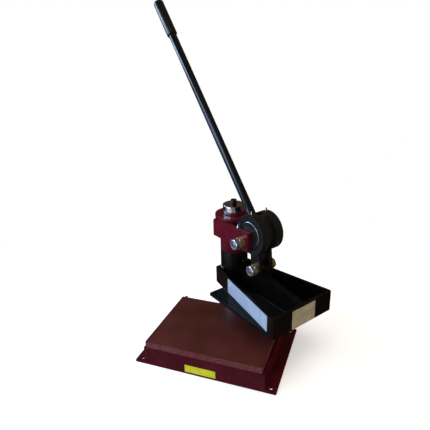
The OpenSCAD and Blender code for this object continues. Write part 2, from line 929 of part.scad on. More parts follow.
module end_sign() {
    color("#b5a68c") swung() translate([beam_len, end_sign_off - end_sign_w / 2, platen_z + end_sign_up])
        cube([sign_t, end_sign_w, end_sign_h]);
}

front_plate();
rear_plate();
left_side_angle();
right_side_angle();
deck_plate();
deck_ribs();
cutting_pad();
pad_screws();
front_label();
heel_plate();
post_socket();
heel_gussets();
socket_set_screws();
post();
thrust_washer();
post_cap();
cap_screw();
head_tube();
head_flange();
flange_screws();
near_ear();
far_ear();
head_bush_upper();
head_bush_lower();
ear_fittings();
shaft_bolt();
shaft_nut();
shaft_lock_nut();
shaft_washers();
eccentric_hub();
hub_bush();
lever_stub();
lever_tube();
lever_grip();
lever_pin();
near_strap();
far_strap();
strap_fittings();
pin_bolt();
pin_nut();
pin_lock_nut();
pin_washer();
pin_spacers();
platen();
front_wall();
back_wall();
end_wall();
rear_webs();
centre_web();
sleeve();
sleeve_bush_upper();
sleeve_bush_lower();
sleeve_fitting();
wall_sign();
end_sign();
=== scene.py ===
import json
import math

import bmesh
import bpy
import numpy as np
from mathutils import Matrix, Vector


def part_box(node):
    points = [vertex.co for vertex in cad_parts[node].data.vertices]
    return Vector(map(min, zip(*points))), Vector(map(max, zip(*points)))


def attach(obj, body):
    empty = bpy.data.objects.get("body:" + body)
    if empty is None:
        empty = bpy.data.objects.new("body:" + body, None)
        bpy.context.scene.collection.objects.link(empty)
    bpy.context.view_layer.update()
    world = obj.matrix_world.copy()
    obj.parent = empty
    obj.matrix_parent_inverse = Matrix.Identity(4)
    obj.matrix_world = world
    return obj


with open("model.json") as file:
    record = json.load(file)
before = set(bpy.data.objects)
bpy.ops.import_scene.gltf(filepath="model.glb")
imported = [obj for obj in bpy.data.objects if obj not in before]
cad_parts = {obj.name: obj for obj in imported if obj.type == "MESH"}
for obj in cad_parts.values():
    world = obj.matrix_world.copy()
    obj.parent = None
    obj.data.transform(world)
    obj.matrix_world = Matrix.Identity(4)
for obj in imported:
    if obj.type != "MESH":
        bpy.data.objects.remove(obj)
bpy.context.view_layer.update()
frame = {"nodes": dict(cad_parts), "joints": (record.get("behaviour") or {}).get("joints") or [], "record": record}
nodes = frame["nodes"]
joints = {j["name"]: j for j in frame["joints"]}
mm = 0.001
print("frame loaded,", len(nodes), "nodes")

# the beam's own directions, taken from the joints: u along the beam, v to its near side
postX, postY = joints["head_swing"]["pos_m"][:2]
axisX, axisY = joints["lever_turn"]["axis"][:2]
postFoot = np.array([postX, postY, 0.0])
alongBeam = np.array([axisY, -axisX, 0.0])
nearSide = np.array([-axisX, -axisY, 0.0])
upward = np.array([0.0, 0.0, 1.0])


def beamPoint(u, v, z):
    # post axis plus u along the beam, v to the near side and z up, in mm, for whole arrays
    u, v, z = (np.asarray(k, float)[..., None] * mm for k in (u, v, z))
    return postFoot + u * alongBeam + v * nearSide + z * upward


def newObject(name, data):
    obj = bpy.data.objects.new(name, data)
    bpy.context.scene.collection.objects.link(obj)
    return obj


def setPlace(obj, right, top, back, spot):
    # turned so that the object's own x, y and z lie along right, top and back
    turn = np.eye(4)
    turn[:3] = np.stack([right, top, back, spot], 1)
    obj.matrix_world = Matrix(turn.tolist())


# camera at the photograph's viewpoint, in metres, radians and pixels
cameraSet = {"place": (0.52283, -1.32754, 1.12306), "yaw": -0.3362, "pitch": 0.3425, "roll": -0.013,
             "focalPx": 419.564, "centrePx": (231.877, 204.015), "framePx": 430, "sensor": 36.0,
             "clip": (0.05, 60.0)}


def makeCamera(c):
    yaw, pitch, roll = c["yaw"], c["pitch"], c["roll"]
    ahead = np.array([math.sin(yaw) * math.cos(pitch), math.cos(yaw) * math.cos(pitch), -math.sin(pitch)])
    aside = np.array([math.cos(yaw), -math.sin(yaw), 0.0])
    rise = np.cross(aside, ahead)
    right = math.cos(roll) * aside + math.sin(roll) * rise
    top = -math.sin(roll) * aside + math.cos(roll) * rise
    data = bpy.data.cameras.new("photoCamera")
    data.sensor_fit = "HORIZONTAL"
    data.sensor_width = c["sensor"]
    data.lens = c["focalPx"] / c["framePx"] * c["sensor"]
    data.shift_x = (c["framePx"] / 2 - c["centrePx"][0]) / c["framePx"]
    data.shift_y = (c["centrePx"][1] - c["framePx"] / 2) / c["framePx"]
    data.clip_start, data.clip_end = c["clip"]
    cam = newObject("photoCamera", data)
    setPlace(cam, right, top, -ahead, c["place"])
    bpy.context.scene.camera = cam


makeCamera(cameraSet)
print("camera set")


def linear(hexColour):
    # sRGB hex to linear light
    c = np.array([int(hexColour[i:i + 2], 16) / 255 for i in (1, 3, 5)])
    c = np.where(c <= 0.04045, c / 12.92, ((c + 0.055) / 1.055) ** 2.4)
    return (*c, 1.0)


def add(tree, kind, settings=None, links=None):
    # one node, its settings by attribute or socket name, its links as socket: (node, output)
    made = tree.nodes.new(kind)
    for key, value in (settings or {}).items():
        if isinstance(key, str) and hasattr(made, key):
            setattr(made, key, value)
        else:
            made.inputs[key].default_value = value
    for key, (source, output) in (links or {}).items():
        tree.links.new(source.outputs[output], made.inputs[key])
    return made


def newMaterial(name, surface):
    # a bare material with its shader, and the link that lays a pattern in the object's own measures
    m = bpy.data.materials.new(name)
    m.use_nodes = True
    tree = m.node_tree
    tree.nodes.clear()
    shader = add(tree, "ShaderNodeBsdfPrincipled", surface)
    add(tree, "ShaderNodeOutputMaterial", links={"Surface": (shader, "BSDF")})
    spot = {"Vector": (add(tree, "ShaderNodeTexCoord"), "Object")}
    return m, tree, shader, spot


def perMetre(sizeMm):
    # texture scale whose features are about sizeMm across
    return 1000.0 / sizeMm


def patternColour(tree, pattern, ends, low, high):
    # colour that runs from low to high while the pattern's value runs between the two ends
    share = add(tree, "ShaderNodeMapRange", {"From Min": ends[0], "From Max": ends[1]},
                {"Value": (pattern, "Fac")})
    return add(tree, "ShaderNodeMix", {"data_type": "RGBA", 6: linear(low), 7: linear(high)},
               {0: (share, "Result")})


def joinShader(tree, shader, o, colour, gloss, relief, depthMm, ends=(0.3, 0.7)):
    # the mixed colour, roughness between the finish's two values with the gloss pattern, and fine relief
    tree.links.new(colour.outputs[2], shader.inputs["Base Color"])
    rough = add(tree, "ShaderNodeMapRange",
                {"From Min": ends[0], "From Max": ends[1], "To Min": o["rough"][0], "To Max": o["rough"][1]},
                {"Value": (gloss, "Fac")})
    tree.links.new(rough.outputs["Result"], shader.inputs["Roughness"])
    bump = add(tree, "ShaderNodeBump", {"Strength": o["bump"], "Distance": depthMm * mm},
               {"Height": (relief, "Fac")})
    tree.links.new(bump.outputs["Normal"], shader.inputs["Normal"])


def sprayedEnamel(name, o):
    # gloss enamel sprayed on steel: slight orange peel, cloudy depth of colour, dull handling marks,
    # and a thin lighter line along the edges, partly worn paint and partly a painted edge highlight
    m, tree, shader, spot = newMaterial(name, {"Specular IOR Level": o["specular"],
                                               "Specular Tint": linear(o["sheen"])})
    cloud = add(tree, "ShaderNodeTexNoise", {"Scale": perMetre(o["cloudMm"]), "Detail": 4.0}, spot)
    colour = patternColour(tree, cloud, (0.3, 0.7), o["deep"], o["colour"])
    speck = add(tree, "ShaderNodeTexNoise", {"Scale": perMetre(o["speckMm"]), "Detail": 2.0}, spot)
    dust = add(tree, "ShaderNodeMapRange", {"From Min": 0.62, "From Max": 0.74, "To Max": o["dust"]},
               {"Value": (speck, "Fac")})
    dusty = add(tree, "ShaderNodeMix", {"data_type": "RGBA", 7: linear(o["dustColour"])},
                {0: (dust, "Result"), 6: (colour, 2)})
    # an edge is where the rounded normal leaves the face's own
    face = add(tree, "ShaderNodeNewGeometry")
    rounded = add(tree, "ShaderNodeBevel", {"samples": 4, "Radius": o["edgeMm"] * mm})
    turn = add(tree, "ShaderNodeVectorMath", {"operation": "DOT_PRODUCT"},
               {0: (face, "Normal"), 1: (rounded, "Normal")})
    rim = add(tree, "ShaderNodeMapRange", {"From Min": 0.99, "From Max": 0.85}, {"Value": (turn, "Value")})
    patch = add(tree, "ShaderNodeTexNoise", {"Scale": perMetre(o["rubMm"] / 3), "Detail": 4.0}, spot)
    rubbed = add(tree, "ShaderNodeMapRange",
                 {"From Min": 0.35, "From Max": 0.65, "To Min": 0.2 * o["edgeWearAndHighlight"], "To Max": o["edgeWearAndHighlight"]},
                 {"Value": (patch, "Fac")})
    amount = add(tree, "ShaderNodeMath", {"operation": "MULTIPLY"},
                 {0: (rim, "Result"), 1: (rubbed, "Result")})
    # edges drawn towards the edge colour: worn paint and a painted edge highlight
    wornAndHighlitEdge = add(tree, "ShaderNodeMix", {"data_type": "RGBA", 7: linear(o["edgeWearAndHighlightColour"])},
               {0: (amount, "Value"), 6: (dusty, 2)})
    rub = add(tree, "ShaderNodeTexNoise",
              {"Scale": perMetre(o["rubMm"]), "Detail": 5.0, "Distortion": 0.6}, spot)
    peel = add(tree, "ShaderNodeTexNoise", {"Scale": perMetre(o["peelMm"]), "Detail": 1.0}, spot)
    joinShader(tree, shader, o, wornAndHighlitEdge, rub, peel, depthMm=0.4, ends=(0.3, 0.75))
    return m


def turnedMetal(name, o):
    # metal cut on a lathe: fine rings round the post's axis, a little uneven in gloss
    m, tree, shader, spot = newMaterial(name, {"Metallic": 1.0})
    centred = add(tree, "ShaderNodeMapping", {"Location": (-postX, -postY, 0.0)}, spot)
    parts = add(tree, "ShaderNodeSeparateXYZ", links={"Vector": (centred, "Vector")})
    across = add(tree, "ShaderNodeCombineXYZ", links={"X": (parts, "X"), "Y": (parts, "Y")})
    radius = add(tree, "ShaderNodeVectorMath", {"operation": "LENGTH"}, {0: (across, "Vector")})
    run = add(tree, "ShaderNodeMath", {"operation": "ADD"}, {0: (radius, "Value"), 1: (parts, "Z")})
    rings = add(tree, "ShaderNodeTexNoise",
                {"noise_dimensions": "1D", "Scale": perMetre(o["ringMm"]), "Detail": 3.0},
                {"W": (run, "Value")})
    cloud = add(tree, "ShaderNodeTexNoise", {"Scale": perMetre(o["cloudMm"]), "Detail": 3.0}, spot)
    colour = patternColour(tree, cloud, (0.3, 0.7), o["deep"], o["colour"])
    joinShader(tree, shader, o, colour, rings, rings, depthMm=0.1)
    return m


def platedSteel(name, o):
    # forged or rolled fastener with a plated skin: soft blotches of tone, pitted gloss
    m, tree, shader, spot = newMaterial(name, {"Metallic": o["metallic"]})
    blotch = add(tree, "ShaderNodeTexNoise",
                 {"Scale": perMetre(o["blotchMm"]), "Detail": 3.0, "Distortion": 1.0}, spot)
    colour = patternColour(tree, blotch, (0.35, 0.65), o["deep"], o["colour"])
    grain = add(tree, "ShaderNodeTexNoise", {"Scale": perMetre(o["grainMm"]), "Detail": 4.0}, spot)
    joinShader(tree, shader, o, colour, grain, grain, depthMm=0.15)
    return m


def rolledPaint(name, o):
    # pad rolled with oil paint: brown film on the top, thinner and mottled on the sawn edges
    m, tree, shader, spot = newMaterial(name, {"Specular IOR Level": o["specular"]})
    parts = add(tree, "ShaderNodeSeparateXYZ", links=spot)
    filmFrom, filmTo = (o["topZ"] - depth * mm for depth in o["filmMm"])
    onTop = add(tree, "ShaderNodeMapRange", {"From Min": filmFrom, "From Max": filmTo},
                {"Value": (parts, "Z")})
    cloud = add(tree, "ShaderNodeTexNoise", {"Scale": perMetre(o["cloudMm"]), "Detail": 5.0}, spot)
    film = patternColour(tree, cloud, (0.3, 0.7), o["topDeep"], o["top"])
    squash = add(tree, "ShaderNodeMapping", {"Scale": (1.0, 1.0, o["flatten"])}, spot)
    mottle = add(tree, "ShaderNodeTexNoise",
                 {"Scale": perMetre(o["mottleMm"]), "Detail": 6.0, "Roughness": 0.65},
                 {"Vector": (squash, "Vector")})
    edge = patternColour(tree, mottle, (0.35, 0.68), o["edgeDeep"], o["edge"])
    both = add(tree, "ShaderNodeMix", {"data_type": "RGBA"},
               {0: (onTop, "Result"), 6: (edge, 2), 7: (film, 2)})
    grain = add(tree, "ShaderNodeTexNoise", {"Scale": perMetre(o["grainMm"]), "Detail": 3.0}, spot)
    joinShader(tree, shader, o, both, cloud, grain, depthMm=0.3)
    return m


def mouldedSkin(name, o):
    # moulded rubber or nylon, or rolled vinyl: even colour with faint scuffs and a fine grain
    m, tree, shader, spot = newMaterial(name, {"Specular IOR Level": o["specular"]})
    scuff = add(tree, "ShaderNodeTexNoise",
                {"Scale": perMetre(o["scuffMm"]), "Detail": 5.0, "Distortion": 0.8}, spot)
    colour = patternColour(tree, scuff, (0.3, 0.6), o["deep"], o["colour"])
    grain = add(tree, "ShaderNodeTexNoise", {"Scale": perMetre(o["grainMm"]), "Detail": 2.0}, spot)
    joinShader(tree, shader, o, colour, scuff, grain, depthMm=0.2)
    return m


# finishes, sizes in mm; the orange peel and the lathe rings are drawn coarser than life so that they show
# head: deep wine red, wet looking, with clouds in the coat
# each coat's edge colour stands for worn paint and a painted edge highlight together
maroonCoat = {
    "colour": "#5b1222", "deep": "#490d1a", "dustColour": "#7d4650", "dust": 0.15, "edgeWearAndHighlightColour": "#84454c",
    "edgeMm": 1.2, "edgeWearAndHighlight": 0.5, "specular": 0.25, "sheen": "#ffe6d8", "rough": (0.1, 0.2), "cloudMm": 90,
    "speckMm": 3, "rubMm": 45, "peelMm": 4, "bump": 0.06}
maroonEnamel = sprayedEnamel("maroonSprayedEnamel", maroonCoat)
# round top plate: the same coat rubbed flat, which mirrors the cap faintly
flangeEnamel = sprayedEnamel("maroonPolishedEnamel", {**maroonCoat, "specular": 0.2, "bump": 0.03})
# base: a darker, duller red that spreads the light
baseEnamel = sprayedEnamel("maroonBrushedEnamel", {
    "colour": "#4d101c", "deep": "#3b0b14", "dustColour": "#73403f", "dust": 0.22, "edgeWearAndHighlightColour": "#7c4046",
    "edgeMm": 1.4, "edgeWearAndHighlight": 0.55, "specular": 0.14, "sheen": "#ffe6d8", "rough": (0.28, 0.46), "cloudMm": 70,
    "speckMm": 4, "rubMm": 60, "peelMm": 5, "bump": 0.1})
# beam: warm black, half matt from handling, pale at its edges from worn paint and a painted edge highlight
blackEnamel = sprayedEnamel("blackSprayedEnamel", {
    "colour": "#0d0b09", "deep": "#080706", "dustColour": "#2a241c", "dust": 0.2, "edgeWearAndHighlightColour": "#55493a",
    "edgeMm": 1.4, "edgeWearAndHighlight": 0.6, "specular": 0.14, "sheen": "#f2e2cc", "rough": (0.24, 0.42), "cloudMm": 70,
    "speckMm": 3, "rubMm": 40, "peelMm": 4, "bump": 0.08})
# rings and hub: thicker black with a cool shine
ringEnamel = sprayedEnamel("blueBlackEnamel", {
    "colour": "#1e1c1a", "deep": "#151412", "dustColour": "#302e2b", "dust": 0.2, "edgeWearAndHighlightColour": "#4c525c",
    "edgeMm": 1.4, "edgeWearAndHighlight": 0.55, "specular": 0.25, "sheen": "#e8eeff", "rough": (0.16, 0.28), "cloudMm": 50,
    "speckMm": 3, "rubMm": 40, "peelMm": 4, "bump": 0.08})
# platen: smooth black in which the things before it are mirrored
platenEnamel = sprayedEnamel("blackMirrorEnamel", {
    "colour": "#0c0d0f", "deep": "#070809", "dustColour": "#222325", "dust": 0.2, "edgeWearAndHighlightColour": "#4a5160",
    "edgeMm": 1.2, "edgeWearAndHighlight": 0.5, "specular": 0.12, "sheen": "#f0f2f6", "rough": (0.05, 0.14), "cloudMm": 70,
    "speckMm": 3, "rubMm": 60, "peelMm": 6, "bump": 0.02})
# lever: slick black with a cool streak along the tube
leverEnamel = sprayedEnamel("blackSatinEnamel", {
    "colour": "#14120f", "deep": "#0c0b0a", "dustColour": "#33312f", "dust": 0.25, "edgeWearAndHighlightColour": "#4a4640",
    "edgeMm": 1.0, "edgeWearAndHighlight": 0.4, "specular": 1.0, "sheen": "#dce8ff", "rough": (0.12, 0.18), "cloudMm": 60,
    "speckMm": 3, "rubMm": 50, "peelMm": 5, "bump": 0.04})
# post and cap: bright steel whose rings break up the mirror
turnedSteel = turnedMetal("turnedSteel", {
    "colour": "#e2e4e6", "deep": "#c6c9cc", "rough": (0.05, 0.14), "ringMm": 1.6, "cloudMm": 40, "bump": 0.3})
# bushes: warm metal, softer in gloss
turnedBronze = turnedMetal("turnedBronze", {
    "colour": "#b58544", "deep": "#94672f", "rough": (0.25, 0.4), "ringMm": 1.6, "cloudMm": 25, "bump": 0.3})
# hub chamfers: bare steel that shows as a soft pale line
rimSteel = turnedMetal("turnedRimSteel", {
    "colour": "#c3cbd9", "deep": "#a2aab8", "rough": (0.22, 0.34), "ringMm": 1.6, "cloudMm": 20, "bump": 0.2})
# lock nuts: white plate with hard glints
brightZinc = platedSteel("brightZincPlate", {
    "colour": "#f0f1f6", "deep": "#c4c7d0", "metallic": 0.88, "blotchMm": 7, "grainMm": 1.5,
    "rough": (0.1, 0.22), "bump": 0.08})
# bolt ends: the same plate gone grey
greyZinc = platedSteel("greyZincPlate", {
    "colour": "#a2a2ac", "deep": "#74747e", "metallic": 0.82, "blotchMm": 6, "grainMm": 1.5,
    "rough": (0.16, 0.3), "bump": 0.1})
# bolts and plain nuts: straw coloured plate with a soft shine
yellowZinc = platedSteel("yellowZincPlate", {
    "colour": "#c6b27c", "deep": "#96875c", "metallic": 0.78, "blotchMm": 7, "grainMm": 1.5,
    "rough": (0.18, 0.32), "bump": 0.08})
# grease fittings on the rings: small pale yellow glints
paleBrass = platedSteel("paleBrassFitting", {
    "colour": "#d2cdb2", "deep": "#a7a07f", "metallic": 1.0, "blotchMm": 5, "grainMm": 1.0,
    "rough": (0.18, 0.3), "bump": 0.06})
# socket screws: charcoal metal with a dull shine
blackOxide = platedSteel("blackOxideSteel", {
    "colour": "#232428", "deep": "#17181b", "metallic": 0.7, "blotchMm": 10, "grainMm": 1.2,
    "rough": (0.3, 0.45), "bump": 0.1})
# cutting pad: satin brown top, rosy mottled sides
paintedBoard = rolledPaint("rolledPaintOnBoard", {
    "top": "#50221a", "topDeep": "#411a13", "edge": "#723b39", "edgeDeep": "#4f1f22", "specular": 0.3,
    "cloudMm": 120, "mottleMm": 16, "flatten": 2.2, "filmMm": (1.2, 0.4), "grainMm": 1.5,
    "rough": (0.35, 0.55), "bump": 0.12, "topZ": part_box("cutting_pad")[1].z})
# grip: black with a broad soft sheen
gripRubber = mouldedSkin("mouldedRubber", {
    "colour": "#12100f", "deep": "#0c0b0b", "specular": 1.0, "scuffMm": 30, "grainMm": 1.0,
    "rough": (0.27, 0.34), "bump": 0.08})
# rings in the lock nuts: dull blue grey
nylonInsert = mouldedSkin("mouldedNylon", {
    "colour": "#3c3f5c", "deep": "#2c2e46", "specular": 0.4, "scuffMm": 6, "grainMm": 0.8,
    "rough": (0.35, 0.5), "bump": 0.08})
# blank signs and label: flat even colour with a satin skin
vinylSkin = {"specular": 0.3, "grainMm": 1.5, "rough": (0.3, 0.45), "bump": 0.04}
whiteVinyl = mouldedSkin("whiteVinylSheet", {
    **vinylSkin, "colour": "#a0acbe", "deep": "#8f9db1", "scuffMm": 60})
beigeVinyl = mouldedSkin("beigeVinylSheet", {
    **vinylSkin, "colour": "#ab9f82", "deep": "#958a6f", "scuffMm": 50})
yellowVinyl = mouldedSkin("yellowVinylSheet", {
    **vinylSkin, "colour": "#d0cb24", "deep": "#b9b41e", "scuffMm": 30})
print("materials made")

# which finish each slot of the record takes, and the nodes whose coat differs from their slot's
slotFinish = {"maroon_paint": maroonEnamel, "black_paint": blackEnamel, "bright_steel": turnedSteel,
              "zinc_plate": brightZinc, "yellow_zinc": yellowZinc, "bronze": turnedBronze,
              "black_oxide": blackOxide, "painted_board": paintedBoard, "grip_rubber": gripRubber,
              "white_plate": whiteVinyl, "beige_plate": beigeVinyl, "yellow_label": yellowVinyl}
ringNodes = ("eccentric_hub", "near_strap", "far_strap")
baseNodes = ("front_plate", "rear_plate", "left_side_angle", "right_side_angle", "deck_plate", "deck_ribs",
             "heel_plate", "post_socket", "heel_gussets")
nodeFinish = {"head_flange": flangeEnamel, "lever_tube": leverEnamel, "platen": platenEnamel,
              "strap_fittings": paleBrass, **dict.fromkeys(ringNodes, ringEnamel),
              **dict.fromkeys(baseNodes, baseEnamel)}

# broken edges, in mm: plates are dressed with a grinder, nuts and signs are left crisp
edgeBreak = {"maroon_paint": 0.8, "black_paint": 0.7, "bright_steel": 0.4, "zinc_plate": 0.4,
             "yellow_zinc": 0.4, "bronze": 0.3, "black_oxide": 0.4, "painted_board": 1.2, "grip_rubber": 0.3,
             "white_plate": 0.2, "beige_plate": 0.2, "yellow_label": 0.2}
dressing = {"joinMm": 0.005, "segments": 2, "sharpDeg": 40}


def dressNode(name, slotName):
    obj = nodes[name]
    obj.data.materials.clear()
    obj.data.materials.append(nodeFinish.get(name, slotFinish[slotName]))
    join = obj.modifiers.new("joinFaces", "WELD")
    join.merge_threshold = dressing["joinMm"] * mm
    bevel = obj.modifiers.new("brokenEdge", "BEVEL")
    bevel.width = edgeBreak[slotName] * mm
    bevel.segments = dressing["segments"]
    bevel.limit_method = "ANGLE"
    bevel.angle_limit = math.radians(dressing["sharpDeg"])
    bevel.use_clamp_overlap = True
    bevel.harden_normals = True


for row in frame["record"]["subparts"]:
    dressNode(row["node"], row["material_slot"])
print("nodes dressed")

# weld beads, in mm: leg of the fillet, ripples and the points that draw them; body, swell, flatten and the
# slow drifts (share, length, start) are parts of the leg, and fade is the length of the tapered ends
weld = {"leg": 5.0, "ripple": 4.0, "perRipple": 5, "leastPoints": 8, "across": 7, "body": 0.94, "swell": 0.07,
        "flatten": 0.14, "drifts": ((0.04, 13.0, 0.0), (0.03, 5.3, 1.0)), "fade": 6.0}


def filletGrid(corner, sideA, sideB, leg):
    # quarter round of radius leg from sideA to sideB, carried along the corner line; its radius swells
    # with a sine of the length run, crescent shaped because the middle lags, and shrinks at both ends
    sideA, sideB = (np.broadcast_to(side, corner.shape)[:, None, :] for side in (sideA, sideB))
    step = np.linalg.norm(np.diff(corner, axis=0), axis=1)
    run = np.concatenate([[0.0], np.cumsum(step)]) / mm
    phi = np.linspace(0.0, math.pi / 2, weld["across"])
    lag = 0.5 * np.sin(2 * phi)
    wave = np.sin(2 * math.pi * (run[:, None] / weld["ripple"] - lag[None, :]))
    drift = sum(share * np.sin(run / length + start) for share, length, start in weld["drifts"])
    ends = np.sqrt(np.clip(np.minimum(run, run[-1] - run) / weld["fade"], 0.0, 1.0))
    flat = 1.0 - weld["flatten"] * np.sin(2 * phi)
    thick = weld["body"] + drift[:, None] + weld["swell"] * wave
    size = leg * mm * ends[:, None] * flat[None, :] * thick
    outward = np.cos(phi)[None, :, None] * sideA + np.sin(phi)[None, :, None] * sideB
    skin = corner[:, None, :] + size[..., None] * outward
    return np.concatenate([skin, corner[:, None, :]], axis=1)


def lineCount(lengthMm):
    return max(weld["leastPoints"], int(lengthMm / weld["ripple"] * weld["perRipple"]))


def straightWeld(start, end, sideA, sideB):
    # corner line from start to end in beam measures (u, v, z), sides as fixed directions
    t = np.linspace(0.0, 1.0, lineCount(math.dist(start, end)))[:, None]
    line = np.array(start) * (1 - t) + np.array(end) * t
    return filletGrid(beamPoint(line[:, 0], line[:, 1], line[:, 2]), sideA, sideB, weld["leg"])


def arcWeld(radius, fromDeg, toDeg, height, rise):
    # corner line on a circle about the post's axis, angles counted from u towards the near side
    a = np.radians(np.linspace(fromDeg, toDeg, lineCount(radius * math.radians(abs(toDeg - fromDeg)))))
    line = beamPoint(radius * np.cos(a), radius * np.sin(a), np.full_like(a, height))
    out = np.cos(a)[:, None] * alongBeam + np.sin(a)[:, None] * nearSide
    return filletGrid(line, out, upward * rise, weld["leg"])


def gridQuads(rows, columns, around):
    # corner numbers of the faces between neighbouring rows, the last column met with the first if around
    i, j = np.meshgrid(np.arange(rows - 1), np.arange(columns if around else columns - 1), indexing="ij")
    k = (j + 1) % columns
    corners = [i * columns + j, i * columns + k, (i + 1) * columns + k, (i + 1) * columns + j]
    return np.stack(corners, -1).reshape(-1, 4)


meetMm = 0.002  # points nearer than this become one


def gridPiece(name, grids, finish, body):
    # one mesh of all the grids: each is a ring of points per step, its ends drawn to a point or met
    points, faces, start = [], [], 0
    for g in grids:
        points.append(g.reshape(-1, 3))
        faces.append(gridQuads(*g.shape[:2], around=True) + start)
        start += len(points[-1])
    mesh = bpy.data.meshes.new(name)
    mesh.from_pydata(np.concatenate(points).tolist(), [], np.concatenate(faces).tolist())
    work = bmesh.new()
    work.from_mesh(mesh)
    bmesh.ops.remove_doubles(work, verts=work.verts, dist=meetMm * mm)
    bmesh.ops.recalc_face_normals(work, faces=work.faces)
    work.to_mesh(mesh)
    work.free()
    mesh.polygons.foreach_set("use_smooth", np.ones(len(mesh.polygons), bool))
    mesh.materials.append(finish)
    obj = newObject(name, mesh)
    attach(obj, body)


def level(node, top):
    # height in mm of a node's top or bottom
    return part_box(node)[1 if top else 0].z / mm


def span(node, way):
    # lowest and highest reach of a node along a direction from the post axis, in mm
    mesh = nodes[node].data
    spots = np.empty(3 * len(mesh.vertices))
    mesh.vertices.foreach_get("co", spots)
    run = (spots.reshape(-1, 3) - postFoot) @ way / mm
    return run.min(), run.max()


def axisOf(node):
    # middle of a round or hexagon piece that lies across the beam, as (u, z) in mm
    return sum(span(node, alongBeam)) / 2, sum(span(node, upward)) / 2


def halfWide(node):
    # half of a node's extent along x, in mm: the radius of an upright round piece
    low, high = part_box(node)
    return (high.x - low.x) / 2 / mm


# plan of the beam in mm, from the post axis and the middle plane; gaps are where a bead stops short, and
# the arcs are the degrees of the sleeve's circle that are welded to the platen and to the walls' rims
beamPlan = {"wallBack": 31.5, "tailHalf": 73.6, "endIn": 390.5, "platenHalf": 149.8, "wallT": 9.65,
            "webHalf": 9.5, "ledgeEnd": 350.0, "platenBack": 26.7, "endGap": 4.0, "tubeGap": 6.0,
            "rimGap": 2.0, "cornerGaps": (2.0, 3.0), "platenArc": (14, 58), "rimArc": (84, 121)}


def beamWelds(b):
    floorZ, rimZ, tubeR = level("platen", True), level("front_wall", True), halfWide("sleeve")
    flare = (b["platenHalf"] - b["tailHalf"]) / (b["endIn"] + b["wallBack"])
    tilt = math.atan(flare)
    first, last = b["platenBack"] + b["endGap"], b["ledgeEnd"]
    firstV, lastV = (b["tailHalf"] + (u + b["wallBack"]) * flare for u in (first, last))
    seat = math.sqrt(tubeR ** 2 - b["webHalf"] ** 2)
    lowGap, highGap = b["cornerGaps"]
    fromDeg, toDeg = b["platenArc"]
    grids = []
    for side in (1, -1):
        near, webEdge = side * nearSide, side * b["webHalf"]
        out = side * math.cos(tilt) * nearSide - math.sin(tilt) * alongBeam
        grids.append(straightWeld((first, side * firstV, floorZ), (last, side * lastV, floorZ), out, upward))
        grids.append(straightWeld((tubeR + b["tubeGap"], webEdge, floorZ),
                                  (b["endIn"] - b["endGap"], webEdge, floorZ), near, upward))
        grids.append(straightWeld((seat, webEdge, floorZ + b["endGap"]), (seat, webEdge, rimZ - b["rimGap"]),
                                  near, alongBeam))
        inner = side * (b["platenHalf"] - b["wallT"])
        grids.append(straightWeld((b["endIn"], inner, floorZ + lowGap), (b["endIn"], inner, rimZ - highGap),
                                  -alongBeam, -near))
        grids.append(arcWeld(tubeR, side * fromDeg, side * toDeg, floorZ, 1))
    return grids


def sleeveWelds(b):
    # beads on the walls' rims, where the sleeve stands through them
    tubeR, rimZ = halfWide("sleeve"), level("front_wall", True)
    fromDeg, toDeg = b["rimArc"]
    return [arcWeld(tubeR, side * fromDeg, side * toDeg, rimZ, 1) for side in (1, -1)]


# how deep in mm the ears are let into the tube, their middles, and the welded degrees under the top plate
headPlan = {"bite": 1.6, "earDeg": (90, -90), "plateArcs": ((-62, 62), (118, 242))}


def headWelds(o):
    tubeR, earZ, plateZ = halfWide("head_tube"), level("near_ear", False), level("head_flange", False)
    seat = math.degrees(math.acos((tubeR - o["bite"]) / tubeR))
    grids = [arcWeld(tubeR, middle - seat, middle + seat, earZ, -1) for middle in o["earDeg"]]
    grids += [arcWeld(tubeR, fromDeg, toDeg, plateZ, -1) for fromDeg, toDeg in o["plateArcs"]]
    return grids


# welded degrees of the socket from the base's right, clear of the gussets and the box; gaps in mm
basePlan = {"socketArcs": ((-40, -8), (8, 172), (188, 220)), "endGap": 4.0, "tubeGap": 5.0}


def baseWelds(o):
    tubeR, heelZ, plateY = halfWide("post_socket"), level("heel_plate", True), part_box("heel_plate")[0].y
    beamTurn = math.degrees(math.atan2(alongBeam[1], alongBeam[0]))
    grids = []
    for fromDeg, toDeg in o["socketArcs"]:
        grids.append(arcWeld(tubeR, beamTurn - toDeg, beamTurn - fromDeg, heelZ, 1))
    half = halfWide("heel_plate") - o["endGap"]
    for side in (1, -1):
        x = np.linspace(side * (tubeR + o["tubeGap"]), side * half, lineCount(half - tubeR)) * mm
        line = np.stack([x, np.full_like(x, plateY), np.full_like(x, heelZ * mm)], -1)
        grids.append(filletGrid(line, np.array([0, 1.0, 0]), upward, weld["leg"]))
    return grids


# rings and flat bars of the straps, in mm, and the share of the bar's width that is welded
strapPlan = {"ringR": 76.2, "barHalf": 25.4, "barOut": 33.4, "leg": 6.0, "share": 0.97}


def strapWelds(o):
    # corner arcs on the rings' rims, where the outer faces of the flat bars leave them
    (eccU, eccZ), (pinU, pinZ) = axisOf("eccentric_hub"), axisOf("pin_nut")
    down = math.atan2(pinZ - eccZ, pinU - eccU)
    reach = math.asin(o["barHalf"] / o["ringR"]) * o["share"]
    a = down + np.linspace(-reach, reach, lineCount(2 * reach * o["ringR"]))
    out = np.cos(a)[:, None] * alongBeam + np.sin(a)[:, None] * upward
    grids = []
    for side in (1, -1):
        line = beamPoint(eccU + o["ringR"] * np.cos(a), np.full_like(a, side * o["barOut"]),
                         eccZ + o["ringR"] * np.sin(a))
        grids.append(filletGrid(line, nearSide * side, out, o["leg"]))
    return grids


